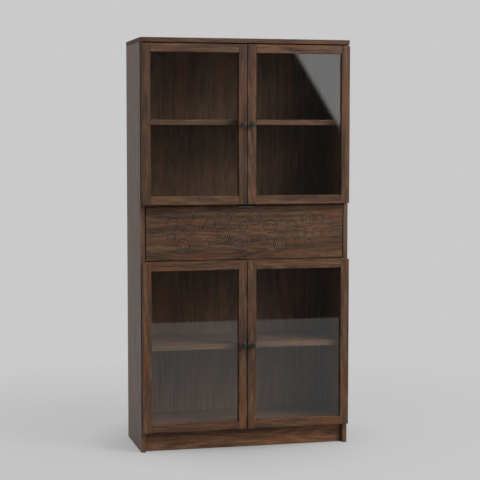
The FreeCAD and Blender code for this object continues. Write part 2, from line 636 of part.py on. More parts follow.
def make_drawer():
    front_corner = ["-side_x + drawer_side_gap", "front_y", "drawer_z"]
    front_size = ["2 * (side_x - drawer_side_gap)", "drawer_front_thickness", "drawer_front_height"]
    sheet_z = "drawer_side_z + drawer_bottom_rise"
    inside_x = "(drawer_side_x - drawer_side)"
    panel = box([f"-{inside_x} - drawer_groove", "drawer_back_y - drawer_groove", sheet_z],
                [f"2 * ({inside_x} + drawer_groove)", "drawer_side_length + drawer_groove",
                 "drawer_bottom"], "BottomSheet")
    groove = box([f"-{inside_x} - drawer_groove", "drawer_back_y - drawer_groove", sheet_z],
                 [f"2 * ({inside_x} + drawer_groove)", "drawer_side_length + drawer_groove + overrun",
                  "drawer_bottom"], "BottomGroove")
    plain_front = cut(board(front_corner, front_size), [groove])
    node(cut(plain_front, [carving(front_corner, front_size)]), "drawer_front")
    side = box(["-drawer_side_x", "drawer_back_y", "drawer_side_z"],
               ["drawer_side", "drawer_side_length", "drawer_side_height"])
    pair_of_nodes(cut(side, [groove]), "drawer_side_left", "drawer_side_right")
    node(box([f"-{inside_x}", "drawer_back_y + drawer_side_length - drawer_side",
              f"{sheet_z} + drawer_bottom"],
             [f"2 * {inside_x}", "drawer_side",
              "drawer_side_height - drawer_bottom_rise - drawer_bottom"]), "drawer_back")
    node(panel, "drawer_bottom")

    pull = doc.addObject("PartDesign::Body", "Pull")
    sketch = outline(pull, "YZ_Plane", [
        ("pull_seat", "0"), ("pull_seat", "pull_metal"), ("-pull_reach", "pull_metal"),
        ("-pull_reach", "pull_metal - pull_lip"), ("-pull_reach + pull_metal", "pull_metal - pull_lip"),
        ("-pull_reach + pull_metal", "0")])
    metal = pad(pull, sketch, "pull_width")
    near = SIZES["pull_metal"] / 2
    bend = edges_along(metal.Shape, "x", {"yMin": near, "zMax": near})
    rounded = pull.newObject("PartDesign::Fillet", "Bend")
    rounded.Base = (metal, bend)
    bind(rounded, "Radius", "pull_bend")
    pull.Tip = rounded
    place(pull, ["-pull_width / 2", "front_y", "drawer_z + drawer_front_height"])
    node(pull, "drawer_pull")


def channel(start, depth, half_height, web_first):
    """A runner member: a channel that opens inwards, or outwards when its web comes last."""
    outer = box([start, "front_y + runner_start", f"runner_z - {half_height}"],
                [depth, "runner_length", f"2 * {half_height}"])
    inside = start + (" + runner_wall" if web_first else " - overrun")
    span = f"{depth} - runner_wall + overrun"
    hollow = box([inside, "front_y + runner_start - overrun",
                  f"runner_z - {half_height} + runner_wall"],
                 [span, "runner_length + 2 * overrun", f"2 * ({half_height} - runner_wall)"])
    return cut(outer, [hollow], "Channel")


def make_runners(screws):
    step = "(runner_wall + runner_play)"
    outer = channel("-side_x", "outer_flange", "(runner_height / 2)", True)
    holes = [screw_hole(seat, way) for seat, way in screws if "runner_wall" in seat[0]]
    node_on_both_sides([cut(outer, holes)], "runner_outers")
    middle = channel("-side_x + middle_start", "middle_flange", f"(runner_height / 2 - {step})", True)
    pair_of_nodes(middle, "runner_middle_left", "runner_middle_right")
    inner = channel("-drawer_side_x - inner_flange", "inner_flange",
                    f"(runner_height / 2 - 2 * {step})", False)
    node_on_both_sides([inner], "runner_inners")


def check():
    faults = [f"{thing.Label}: {thing.State}" for thing in doc.Objects
              if {"Invalid", "Error"} & set(thing.State)]
    for thing in nodes:
        if thing.Shape.isNull() or not thing.Shape.isValid() or not thing.Shape.Solids:
            faults.append(f"{thing.Label}: no valid solid")
    if faults:
        raise RuntimeError("; ".join(faults))


screw_list = make_carcass()
make_brackets(screw_list)
make_hinge_bases(screw_list)
for level, (low, high) in DOORS.items():
    make_doors(level, f"({low})", f"({high})")
make_drawer()
make_runners(screw_list)
doc.recompute()
check()

os.makedirs("parts", exist_ok=True)
for thing in nodes:
    thing.Shape.exportStep(f"parts/{thing.Label}.step")
    print(thing.Label, len(thing.Shape.Solids), round(thing.Shape.Volume))
print(len(nodes), "nodes")
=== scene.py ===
"""Tall bookcase of dark walnut with four glazed doors and one carved drawer.

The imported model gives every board, pane and fitting. This script gives them their finishes, turns the
knobs, bends the drawer's pull, cuts the carved front and sets the studio round them.
"""

import math
from functools import partial

import bmesh
import bpy
import numpy as np
from bpy.props import FloatProperty, FloatVectorProperty, IntProperty, PointerProperty
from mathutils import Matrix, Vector
from mathutils.geometry import delaunay_2d_cdt


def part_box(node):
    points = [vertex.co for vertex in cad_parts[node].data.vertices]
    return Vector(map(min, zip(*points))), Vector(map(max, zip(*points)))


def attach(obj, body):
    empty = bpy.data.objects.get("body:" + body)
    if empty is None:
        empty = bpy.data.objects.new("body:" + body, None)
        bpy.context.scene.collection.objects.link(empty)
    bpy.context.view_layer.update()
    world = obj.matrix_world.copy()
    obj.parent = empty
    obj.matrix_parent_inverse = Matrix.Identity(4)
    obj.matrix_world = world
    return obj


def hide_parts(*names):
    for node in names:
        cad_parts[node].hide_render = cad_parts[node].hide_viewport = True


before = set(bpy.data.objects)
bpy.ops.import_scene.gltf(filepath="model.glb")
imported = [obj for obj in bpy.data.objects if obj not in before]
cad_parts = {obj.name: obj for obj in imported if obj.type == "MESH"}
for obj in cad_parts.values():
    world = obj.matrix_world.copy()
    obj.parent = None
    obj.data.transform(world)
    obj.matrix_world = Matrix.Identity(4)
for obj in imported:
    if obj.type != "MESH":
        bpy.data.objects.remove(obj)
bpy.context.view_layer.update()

bl_info = {
    "name": "Glazed Walnut Bookcase",
    "version": (1, 0, 0),
    "blender": (4, 5, 0),
    "location": "3D View > Sidebar > Bookcase",
    "description": "Finishes, turned knobs, bent pull and studio for a glazed walnut bookcase",
    "category": "Object",
}

MM = 0.001
QUARTER_TURN = math.pi / 2
GRAIN_TURN = {"lengthwise": (0, 0, 0), "upright": (0, QUARTER_TURN, 0), "depthwise": (0, 0, -QUARTER_TURN)}
DOORS = ("upper_left_door", "upper_right_door", "lower_left_door", "lower_right_door")


def hex_linear(code):
    """The linear colour of an sRGB hex value: the low end divided by 12.92, the rest by the 2.4 power."""
    shares = np.array([int(code[i:i + 2], 16) for i in (1, 3, 5)]) / 255
    return tuple(np.where(shares <= 0.04045, shares / 12.92, ((shares + 0.055) / 1.055) ** 2.4).tolist())


def solid(colour):
    """A colour with full alpha, as a node's socket takes it."""
    return (*colour[:3], 1)


def grey(value):
    """A grey with full alpha."""
    return (value, value, value, 1)


def colour_property(name, description, code):
    """A colour that a user may change, given as an sRGB hex value."""
    return FloatVectorProperty(name=name, description=description, subtype="COLOR", size=3, min=0, max=1,
                               default=hex_linear(code))


def length_property(name, description, metres):
    """A length that a user may change, given in metres."""
    return FloatProperty(name=name, description=description, unit="LENGTH", precision=4, min=0,
                         default=metres)


def share_property(name, description, value, most=1):
    """A plain share or strength that a user may change."""
    return FloatProperty(name=name, description=description, subtype="FACTOR", min=0, max=most, default=value)


class WalnutSettings(bpy.types.PropertyGroup):
    """Colours and grain of the oiled walnut veneer."""

    vein: colour_property("Vein", "Darkest lines of the late wood", "#2f1f15")
    ground: colour_property("Ground", "Main brown of the heartwood", "#462f1f")
    pale: colour_property("Pale", "Lighter early wood", "#573e2a")
    light: colour_property("Light", "Lightest streaks", "#6c4f36")
    red: colour_property("Red", "Reddish streaks", "#643c23")
    # Bead and groove paint light into the carving: the bead colour is partly wear and partly a painted
    # highlight on the beads, and the groove colour is painted shade in the grooves.
    bead: colour_property("Bead", "Rubbed edges of the carving", "#886d57")
    groove: colour_property("Groove", "Oil and dust in the carved grooves", "#1c130d")
    bead_wear_and_highlight_share: share_property("Bead share", "How far the carving's edges are rubbed", 0.55)
    groove_shade_share: share_property("Groove share", "How dark the carved grooves are", 0.78)
    red_share: share_property("Red share", "How far the reddest streaks are red", 0.75)
    figure_length: length_property("Figure length", "Length of a broad light or dark band", 0.6)
    figure_width: length_property("Figure width", "Width of a broad light or dark band", 0.02)
    streak_length: length_property("Streak length", "Length of a fine streak", 0.07)
    streak_width: length_property("Streak width", "Width of a fine streak", 0.0038)
    streak_share: share_property("Streak share", "How much fine streaks show beside the bands", 0.62)
    pore_length: length_property("Pore length", "Length of an open pore", 0.02)
    pore_width: length_property("Pore width", "Width that a pore is drawn at", 0.0016)
    arch_length: length_property("Arch length", "Length of one arch of the figure", 0.9)
    arch_width: length_property("Arch width", "Width of one arch of the figure", 0.1)
    arch_share: share_property("Arch share", "How much the growth lines show", 0.1)
    arch_lines: FloatProperty(name="Arch lines", description="Growth lines over one arch", min=0, default=11)
    hue_drift: share_property("Hue drift", "How far the hue drifts from patch to patch", 0.34)
    stray: length_property("Stray", "How far the grain strays across a board", 0.022)
    sheen: share_property("Roughness", "Roughness of the matt oil", 0.66)
    gloss: share_property("Gloss", "Strength of the matt oil's shine", 0.28)
    satin_sheen: share_property("Satin roughness", "Roughness of the satin oil of the sides", 0.46)
    satin_gloss: share_property("Satin gloss", "Strength of the satin oil's shine", 0.44)


class GlassSettings(bpy.types.PropertyGroup):
    """Clear float glass of the doors."""

    tint: colour_property("Tint", "Faint green of plain float glass", "#fafcfb")
    ior: FloatProperty(name="IOR", description="Bending of light in soda-lime glass", min=1, default=1.52)


class MetalSettings(bpy.types.PropertyGroup):
    """Colours of the metal parts."""

    black: colour_property("Black coat", "Powder coat of the knobs", "#151516")
    graphite: colour_property("Graphite coat", "Powder coat of the drawer's pull", "#313436")
    nickel: colour_property("Nickel", "Nickel plate of hinges and pins", "#b9b4aa")
    zinc: colour_property("Zinc", "Die-cast zinc of the cams", "#9c9d9e")
    galvanised: colour_property("Galvanised", "Zinc plate of the runners", "#a9acae")


class BoxWoodSettings(bpy.types.PropertyGroup):
    """Birch plywood of the drawer's box."""

    pale: colour_property("Pale", "Early wood of the face ply", "#d0bd9c")
    dark: colour_property("Dark", "Late wood and inner plies", "#b89e7a")
    glue: colour_property("Glue line", "Glue between two plies", "#7d6346")
    ply: length_property("Ply", "Thickness of one ply", 0.0014)


class TurningSettings(bpy.types.PropertyGroup):
    """Fineness of the turned and bent metal parts."""

    turn_steps: IntProperty(name="Turn steps", description="Facets round a knob", min=12, default=72)
    corner_steps: IntProperty(name="Corner steps", description="Facets over a corner", min=2, default=5)


class StudioSettings(bpy.types.PropertyGroup):
    """Camera, floor, backdrop and lamps."""

    camera_place: FloatVectorProperty(name="Camera", description="Where the camera stands", unit="LENGTH",
                                      subtype="TRANSLATION", precision=4, default=(-1.4530, -6.0032, 1.3337))
    camera_aim: FloatVectorProperty(name="Aim", description="What the camera looks at", unit="LENGTH",
                                    subtype="TRANSLATION", precision=4, default=(-0.0329, -0.1755, 0.8896))
    camera_lens: FloatProperty(name="Lens", description="Focal length on a 36 mm sensor", unit="CAMERA",
                               default=107.55)
    backdrop: colour_property("Backdrop", "Pale grey behind the object", "#cacaca")
    floor: colour_property("Floor", "Pale grey floor", "#acacac")
    room: share_property("Room", "Light of the dim room in front, seen in reflections", 0.05)
    fill: share_property("Fill", "Even light from all round", 0.25, 10)
    glow: share_property("Glow", "Share of the backdrop that shows in the floor under the object", 0.15)
    floor_radius: length_property("Floor radius", "How far the floor reaches", 14.0)
    blend_end: length_property("Blend end", "Where the floor has melted into the backdrop", 2.4)
    floor_dulling: share_property("Floor dulling", "How far the floor in front is dulled in mirrors", 0.18)
    lit_floor: FloatProperty(name="Lit floor", description="How far forward the floor is lit in reflections",
                             unit="LENGTH", default=-4.15)


def add_node(tree, kind, sockets=None, stops=(), **settings):
    """Adds one shader node. Each of its sockets takes a value, an output, or a node for its first output.
    stops are the (place, colour) pairs of a ramp, and settings the node's own properties."""
    node = tree.nodes.new("ShaderNode" + kind)
    for name, value in settings.items():
        setattr(node, name, value)
    for key, value in (sockets or {}).items():
        source = value.outputs[0] if isinstance(value, bpy.types.Node) else value
        if isinstance(source, bpy.types.NodeSocket):
            tree.links.new(source, node.inputs[key])
        else:
            node.inputs[key].default_value = source
    for i, (place, colour) in enumerate(stops):
        elements = node.color_ramp.elements
        element = elements[i] if i < len(elements) else elements.new(place)
        element.position = place
        element.color = colour
    return node


def node_adder(owner):
    """Empties the node tree of a material, a world or a lamp, and gives add_node for that tree."""
    owner.use_nodes = True
    owner.node_tree.nodes.clear()
    return partial(add_node, owner.node_tree)


def new_material(name):
    """A material with an empty node tree, and add_node for that tree."""
    material = bpy.data.materials.new(name)
    return material, node_adder(material)


# A Mix node's sockets: factor, two numbers, two colours, and the mixed colour's output.
FACTOR, NUMBER_A, NUMBER_B, COLOUR_A, COLOUR_B, COLOUR_OUT = 0, 2, 3, 6, 7, 2
# Bending of light in oil, lacquer and powder coat.
COAT_IOR = 1.5
# Length and width in metres of waves in the grain, of reddish streaks and of patches of one hue.
WANDER, RED_STREAK, HUE_PATCH = (0.625, 1 / 6), (0.35, 0.022), (0.16, 0.03)
# Where the heartwood's four colours lie on their ramp, from its middle.
HEART_PLACES = (-0.14, -0.04, 0.05, 0.14)
# Values of the noise over which pores close, red sets in, the beads' wear and painted highlight grow
# and oil gets smoother.
PORE_RANGE = {"From Min": 0.34, "From Max": 0.48}
RED_RANGE = {"From Min": 0.50, "From Max": 0.66}
WEAR_AND_HIGHLIGHT_RANGE = {"From Min": 0.4, "From Max": 0.6}
OIL_RANGE = {"From Min": 0.3, "From Max": 0.7}
# Tone of an open pore and of the wood beside it.
PORE_TONE, FACE_TONE = 0.58, 1.04
# Least share of a bead's wear and painted highlight, and the carving's value at which a groove's painted
# shade is full.
LEAST_WEAR_AND_HIGHLIGHT, FULL_GROOVE_SHADE = 0.3, -0.7
# How much rougher the oil is in dark streaks, and how much smoother in light ones.
ROUGHER, SMOOTHER = 0.08, 0.05


def fibre_noise(add, vector, length, width, detail=2.0, rough=0.55):
    """Noise stretched along local X: its lumps are about length long and width wide."""
    cells = add("Mapping", {"Vector": vector, "Scale": (1 / length, 1 / width, 1 / width)})
    return add("TexNoise", {"Vector": cells, "Scale": 1.0, "Detail": detail, "Roughness": rough})


def walnut(name, grain, shift, tone=1.0, spread=1.0, carved=False, satin=False):
    """American walnut veneer, sliced flat and oiled matt. Oil leaves it almost without gloss, with dark open
    pores, brown heartwood in broad bands, fine streaks, some red and a slow drift of its hue. The grain runs
    along local X, which GRAIN_TURN turns to the board. shift moves the board through the log, and tone
    lightens or darkens it. spread calms its contrast. carved paints the carving's light by the piece's
    carving
    attribute: shade into the grooves, and paler beads that are partly wear and partly painted highlight.
    satin is the smoother oil of the sides.
    Pores are about 0.3 mm wide and are drawn wider, or they wouldn't show."""
    wood = bpy.context.scene.bookcase_walnut
    sheen, gloss_level = (wood.satin_sheen, wood.satin_gloss) if satin else (wood.sheen, wood.gloss)
    material, add = new_material(name)
    place = add("TexCoord").outputs["Object"]
    along = add("Mapping", {"Vector": place, "Rotation": GRAIN_TURN[grain], "Location": shift})
    wander = fibre_noise(add, along, *WANDER, rough=0.5).outputs["Color"]
    centred = add("VectorMath", {0: wander, 1: (0.5, 0.5, 0.5)}, operation="SUBTRACT")
    drift = add("VectorMath", {0: centred, 1: (0, wood.stray, wood.stray)}, operation="MULTIPLY")
    fibre = add("VectorMath", {0: along, 1: drift}, operation="ADD")
    figure = fibre_noise(add, fibre, wood.figure_length, wood.figure_width)
    streak = fibre_noise(add, fibre, wood.streak_length, wood.streak_width, detail=4.0, rough=0.6)
    flush = fibre_noise(add, fibre, *RED_STREAK)
    pores = fibre_noise(add, fibre, wood.pore_length, wood.pore_width, detail=1.0)
    arch = fibre_noise(add, fibre, wood.arch_length, wood.arch_width, detail=1.0)
    hues = fibre_noise(add, fibre, *HUE_PATCH, rough=0.5).outputs["Color"]
    turns = add("Math", {0: arch, 1: math.tau * wood.arch_lines}, operation="MULTIPLY")
    swing = add("Math", {0: turns}, operation="SINE")
    lines = add("MapRange", {"Value": swing, "From Min": -1.0})
    bands = add("Mix", {FACTOR: wood.streak_share, NUMBER_A: figure, NUMBER_B: streak})
    mixed = add("Mix", {FACTOR: wood.arch_share, NUMBER_A: bands, NUMBER_B: lines})
    hearts = zip(HEART_PLACES, (wood.vein, wood.ground, wood.pale, wood.light))
    heart = add("ValToRGB", {"Fac": mixed},
                [(0.5 + offset * spread, solid(colour)) for offset, colour in hearts])
    red_share = add("MapRange", {"Value": flush, **RED_RANGE, "To Max": wood.red_share})
    reddened = add("Mix", {FACTOR: red_share, COLOUR_A: heart, COLOUR_B: solid(wood.red)}, data_type="RGBA")
    hue = add("VectorMath", {0: hues, 1: (wood.hue_drift,) * 3, 2: (1 - wood.hue_drift / 2,) * 3},
              operation="MULTIPLY_ADD")
    tinted = add("VectorMath", {0: reddened.outputs[COLOUR_OUT], 1: hue}, operation="MULTIPLY")
    pore_dark = add("MapRange", {
        "Value": pores, **PORE_RANGE, "To Min": PORE_TONE * tone, "To Max": FACE_TONE * tone})
    colour = add("VectorMath", {0: tinted, 1: pore_dark}, operation="MULTIPLY")
    # Carved pieces get painted light: paler beads, partly wear and partly painted highlight, and darker
    # grooves as painted shade.
    if carved:
        carving_light_and_shade = add("Attribute", attribute_name="carving").outputs["Fac"]
        wear_and_highlight = add("MapRange", {
            "Value": streak, **WEAR_AND_HIGHLIGHT_RANGE, "To Min": LEAST_WEAR_AND_HIGHLIGHT * wood.bead_wear_and_highlight_share, "To Max": wood.bead_wear_and_highlight_share})
        rubbed_and_highlit = add("MapRange", {"Value": carving_light_and_shade, "To Max": wear_and_highlight})
        # filled is the share of painted shade that darkens a groove.
        filled = add("MapRange", {"Value": carving_light_and_shade, "From Max": FULL_GROOVE_SHADE, "To Max": wood.groove_shade_share})
        for share, tint in ((rubbed_and_highlit, wood.bead), (filled, wood.groove)):
            toned = add("Mix", {FACTOR: share, COLOUR_A: colour, COLOUR_B: solid(tint)}, data_type="RGBA")
            colour = toned.outputs[COLOUR_OUT]
    gloss = add("MapRange", {
        "Value": streak, **OIL_RANGE, "To Min": sheen + ROUGHER, "To Max": sheen - SMOOTHER})
    grooves = add("Math", {0: pores, 1: streak}, operation="MULTIPLY")
    bump = add("Bump", {"Height": grooves, "Strength": 0.35, "Distance": 0.6 * MM})
    shader = add("BsdfPrincipled", {
        "Base Color": colour, "Roughness": gloss, "Normal": bump, "IOR": COAT_IOR,
        "Specular IOR Level": gloss_level})
    add("OutputMaterial", {"Surface": shader})
    return material


# Length and width in metres of birch's broad bands and fine streaks, and how much the streaks show.
BIRCH_BAND, BIRCH_STREAK, BIRCH_STREAK_SHARE = (0.30, 0.03), (0.12, 0.004), 0.45
# Where its dark and its pale wood lie on their ramp.
BIRCH_DARK, BIRCH_PALE = 0.36, 0.6
# Length of a Wave Texture's wave at scale 1, the glue's part of a wave, and how much the glue shows.
WAVE_LENGTH, GLUE_PART, GLUE_SHARE = math.tau / 20, 0.12, 0.8


def birch_ply(name, grain, plies):
    """Birch plywood, sanded and clear lacquered. Its faces show pale rotary-cut grain and its edges show the
    plies as thin dark glue lines across the board's thickness, which runs along the axis named in plies."""
    wood = bpy.context.scene.bookcase_box_wood
    material, add = new_material(name)
    place = add("TexCoord").outputs["Object"]
    along = add("Mapping", {"Vector": place, "Rotation": GRAIN_TURN[grain]})
    figure = fibre_noise(add, along, *BIRCH_BAND)
    streak = fibre_noise(add, along, *BIRCH_STREAK, detail=3.0)
    mixed = add("Mix", {FACTOR: BIRCH_STREAK_SHARE, NUMBER_A: figure, NUMBER_B: streak})
    face = add("ValToRGB", {"Fac": mixed}, ((BIRCH_DARK, solid(wood.dark)), (BIRCH_PALE, solid(wood.pale))))
    layers = add("TexWave", {"Vector": place, "Scale": WAVE_LENGTH / wood.ply},
                 bands_direction=plies).outputs["Fac"]
    line = add("MapRange", {"Value": layers, "From Max": GLUE_PART, "To Min": GLUE_SHARE, "To Max": 0.0})
    colour = add("Mix", {FACTOR: line, COLOUR_A: face, COLOUR_B: solid(wood.glue)},
                 data_type="RGBA").outputs[COLOUR_OUT]
    bump = add("Bump", {"Height": streak, "Strength": 0.2, "Distance": 0.4 * MM})
    shader = add("BsdfPrincipled", {"Base Color": colour, "Roughness": 0.42, "Normal": bump, "IOR": COAT_IOR})
    add("OutputMaterial", {"Surface": shader})
    return material


def float_glass(name):
    """Soda-lime float glass, fire polished on both faces. It is clear, mirrors about 8 in 100 of what stands
    in front of it, and lets the lamps light what stands behind it."""
    glass = bpy.context.scene.bookcase_glass
    tint = solid(glass.tint)
    material, add = new_material(name)
    pane = add("BsdfPrincipled", {
        "Base Color": tint, "Roughness": 0.0, "IOR": glass.ior, "Transmission Weight": 1.0})
    clear = add("BsdfTransparent", {"Color": tint})
    ray = add("LightPath")
    mix = add("MixShader", {0: ray.outputs["Is Shadow Ray"], 1: pane, 2: clear})
    add("OutputMaterial", {"Surface": mix})
    return material


# Size in metres of a powder coat's peel, as drawn, and of its worn patches.
PEEL_SIZE, WORN_SIZE = 1 * MM, 9 * MM
# How far marks sway a finish: least and most share of its colour, and roughness either way.
COAT_SWAY, METAL_SWAY = (0.85, 1.15, 0.05), (0.82, 1.1, 0.08)


def marked_shader(add, colour, roughness, marks, sway, **sockets):
    """Ends a metal's material. The noise marks sway its colour and roughness, by the three values of sway."""
    least, most, either_way = sway
    tint = add("MapRange", {"Value": marks, "To Min": least, "To Max": most})
    shade = add("VectorMath", {0: colour[:3], 1: tint}, operation="MULTIPLY")
    gloss = add("MapRange", {
        "Value": marks, "To Min": roughness - either_way, "To Max": roughness + either_way})
    shader = add("BsdfPrincipled", {"Base Color": shade, "Roughness": gloss, **sockets})
    add("OutputMaterial", {"Surface": shader})


def powder_coat(name, colour, roughness):
    """Powder coat baked on steel. It is an opaque satin film with a fine orange peel of about 0.5 mm, drawn
    at 1 mm so that it shows."""
    material, add = new_material(name)
    place = add("TexCoord").outputs["Object"]
    peel = add("TexNoise", {"Vector": place, "Scale": 1 / PEEL_SIZE, "Detail": 2.0})
    worn = add("TexNoise", {"Vector": place, "Scale": 1 / WORN_SIZE, "Detail": 3.0})
    bump = add("Bump", {"Height": peel, "Strength": 0.12, "Distance": 0.2 * MM})
    marked_shader(add, colour, roughness, worn, COAT_SWAY, Normal=bump, IOR=COAT_IOR)
    return material


def bare_metal(name, colour, roughness, grit, depth):
    """Metal that shows itself: nickel plate is bright and faintly brushed, die-cast zinc is grey and grainy,
    and galvanised steel is cool and slightly mottled. grit is the size of its marks in metres, and depth is
    how deep they look."""
    material, add = new_material(name)
    place = add("TexCoord").outputs["Object"]
    marks = add("TexNoise", {"Vector": place, "Scale": 1 / grit, "Detail": 3.0})
    bump = add("Bump", {"Height": marks, "Strength": 0.2, "Distance": depth})
    marked_shader(add, colour, roughness, marks, METAL_SWAY, Normal=bump, Metallic=1.0)
    return material


def dress(material, *nodes):
    """Gives CAD nodes a finish through their own material slots."""
    for node in nodes:
        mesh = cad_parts[node].data
        mesh.materials.clear()
        mesh.materials.append(material)


def grid_faces(rows, columns, wrap):
    """The quads of a grid of rows by columns. wrap joins the last column to the first."""
    row = np.arange(rows - 1)[:, None]
    column = np.arange(columns if wrap else columns - 1)[None, :]
    after = (column + 1) % columns
    this, next_row = row * columns, (row + 1) * columns
    corners = (this + column, this + after, next_row + after, next_row + column)
    return np.stack(corners, axis=-1).reshape(-1, 4)


def fan_faces(loop, tip):
    """The triangles from a closed loop of vertex numbers to one vertex in its middle."""
    return np.stack((loop, np.roll(loop, -1), np.full_like(loop, tip)), axis=-1).tolist()


def rounded(corners, reach, steps, closed):
    """A broken line with its corners rounded. Each corner becomes a parabola from a point on one leg to a
    point on the next, each reach from the corner but at most 0.45 of its leg. An open line keeps its ends."""
    corners = np.asarray(corners, float)
    before = np.roll(corners, 1, axis=0) - corners
    after = np.roll(corners, -1, axis=0) - corners
    legs = np.minimum(np.linalg.norm(before, axis=1), np.linalg.norm(after, axis=1))
    cut = np.minimum(np.broadcast_to(reach, legs.shape), 0.45 * legs)[:, None]
    start = corners + before / np.linalg.norm(before, axis=1)[:, None] * cut
    end = corners + after / np.linalg.norm(after, axis=1)[:, None] * cut
    t = np.linspace(0, 1, steps + 1)[None, :, None]
    curve = (1 - t) ** 2 * start[:, None] + 2 * t * (1 - t) * corners[:, None] + t ** 2 * end[:, None]
    if closed:
        return curve.reshape(-1, 2)
    return np.concatenate((corners[:1], curve[1:-1].reshape(-1, 2), corners[-1:]))


# Edges that turn more than this stay sharp.
SHARP_ANGLE = math.radians(38)


def make_piece(name, vertices, faces, material, body, slot, *replaced):
    """A mesh object at the origin, its normals outward, that rides on a body in place of CAD nodes."""
    mesh = bpy.data.meshes.new(name)
    mesh.from_pydata(np.asarray(vertices).tolist(), [], faces)
    shape = bmesh.new()
    shape.from_mesh(mesh)
    bmesh.ops.recalc_face_normals(shape, faces=shape.faces)
    shape.to_mesh(mesh)
    shape.free()
    mesh.shade_smooth()
    mesh.set_sharp_from_angle(angle=SHARP_ANGLE)
    mesh.materials.append(material)
    piece = bpy.data.objects.new(name, mesh)
    bpy.context.scene.collection.objects.link(piece)
    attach(piece, body)
    if replaced:
        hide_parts(*replaced)
    return piece


# Knob from its front to the screw's head behind the door: (radius, way back from the door's face), in mm.
KNOB_PROFILE = ((0, -22), (10.5, -22), (12.5, -20), (12.5, -16), (4.5, -8), (4.5, -1.5), (7, -1.5), (7, 0),
                (2, 0), (2, 28), (4.5, 28), (4.5, 29.5), (0, 29.5))
KNOB_REACH = (0, 1.6, 1.2, 1.0, 1.8, 0.8, 0.4, 0.2, 0.2, 0.2, 0.2, 0.9, 0)
# Wall screw from the top of its head to the wall's face: (radius, way back from the bracket's face), in mm.
SCREW_PROFILE = ((0, -2.8), (3.4, -2.8), (5.4, -1.2), (5.4, 0), (2.4, 0), (2.4, 17), (0, 17))
SCREW_REACH = (0, 1.2, 0.8, 0.2, 0.2, 0.3, 0)
SCREW_SPREAD, SCREW_DROP, BRACKET_METAL = 300 * MM, 24 * MM, 2 * MM
# Pull across its length: (way back from the drawer's face, height over its top edge), in mm.
PULL_PROFILE = ((17, 0), (17, 1.5), (-12, 1.5), (-12, -6), (-10.5, -6), (-10.5, 0))
PULL_REACH = (0.3, 0.4, 2.0, 0.5, 0.4, 0.5)
# How far the pull's ends are eased, in how many steps, and the least turn of an edge.
PULL_EASE, PULL_EASE_STEPS, PULL_EDGE = 0.35 * MM, 2, math.radians(60)
# Roughness of the coats of the knobs, the pull and the brackets.
KNOB_COAT, PULL_COAT, BRACKET_COAT = 0.34, 0.42, 0.5
# Carved rounds of the drawer's front: the radius in mm and the rings' shares of it.
ROUND_KINDS = {"large": (28.2, (1, 0.76, 0.45)), "medium": (22.2, (1, 0.7, 0.36)), "small": (16.7, (1, 0.6)),
               "tiny": (9.4, (1, 0.5))}
# Where each round sits: (share across the front, share up it, kind, flutes round its middle).
ROUNDS = (
    (0.131, 0.69, "medium", 0), (0.206, 0.801, "medium", 9), (0.211, 0.564, "medium", 0),
    (0.125, 0.436, "small", 0), (0.182, 0.26, "large", 0), (0.271, 0.611, "tiny", 0),
    (0.319, 0.68, "medium", 0), (0.301, 0.295, "small", 7), (0.388, 0.769, "large", 0),
    (0.382, 0.44, "large", 0), (0.45, 0.298, "large", 0), (0.487, 0.614, "small", 0),
    (0.515, 0.35, "small", 7), (0.545, 0.771, "large", 0), (0.583, 0.359, "medium", 0),
    (0.624, 0.619, "large", 0), (0.675, 0.277, "large", 0), (0.734, 0.613, "medium", 9),
    (0.76, 0.334, "tiny", 0), (0.784, 0.487, "medium", 0), (0.819, 0.735, "large", 0),
    (0.821, 0.272, "small", 7), (0.867, 0.466, "medium", 0), (0.88, 0.732, "small", 7),
)
# Depths of a round's rings from the outer one in, in mm, and the share of wear and painted highlight of the
# bead inside each.
RING_DEPTHS, BEAD_WEAR_AND_HIGHLIGHT = (1.5, 1.3, 0.8), (1.0, 0.7, 0.6)
# Half the width of a ring and of a bead, the flat rim round the outer ring, the step between rows and the
# least radius of one, in mm.
CARVED_HALF_WIDTH, BEAD_HALF_WIDTH, CARVED_RIM, CARVED_STEP, CARVED_INNER = 3.2, 2.8, 3.3, 0.65, 0.4
# Depth of a flute in mm, and its middle and half length as shares of the inner ring's radius.
FLUTE_DEPTH, FLUTE_MIDDLE, FLUTE_HALF_LENGTH = 0.8, 0.55, 0.4
# Where the front comes from in the log, and its tone.
FRONT_SHIFT, FRONT_TONE = (0.15, 0.31, 0.02), 0.93
# Eased edge of the front and the groove in its back, in metres.
BOARD_EASE = 0.8 * MM
GROOVE_INSET, GROOVE_RISE, GROOVE_HEIGHT, GROOVE_DEPTH = 17.7 * MM, 38.0 * MM, 6.0 * MM, 6.0 * MM
# Degrees of the loops over an eased edge, how far the first lies inside the second, a corner's radius less
# the ease, and its points.
EASE_TURNS, FLAT_INSET, CORNER_SPARE, CORNER_POINTS = (0, 0, 30, 60, 90), 0.5 * MM, 1.0 * MM, 4
# The Delaunay output that keeps all triangles, and its tolerance in metres.
ALL_TRIANGLES, TOLERANCE = 0, 1e-7


def turned(profile, reach, middle, turning):
    """A piece turned on a lathe whose axis runs back from the point middle: each point of the rounded profile
    goes round at its radius, times the cosine and sine of the angle, and both ends close in a point."""
    steps = turning.turn_steps
    outline = rounded(profile, reach, turning.corner_steps, False) * MM
    angle = np.linspace(0, math.tau, steps, endpoint=False)[None, :]
    radius, back = outline[1:-1, 0, None], outline[1:-1, 1, None]
    rings = np.stack(np.broadcast_arrays(middle[0] + radius * np.cos(angle), middle[1] + back,
                                         middle[2] + radius * np.sin(angle)), axis=-1)
    tips = np.array(middle) + np.array(((0, outline[0, 1], 0), (0, outline[-1, 1], 0)))
    first, tip = np.arange(steps), len(rings) * steps
    faces = grid_faces(len(rings), steps, True).tolist()
    faces += fan_faces(first, tip) + fan_faces(first + tip - steps, tip + 1)
    return np.concatenate((rings.reshape(-1, 3), tips)), faces


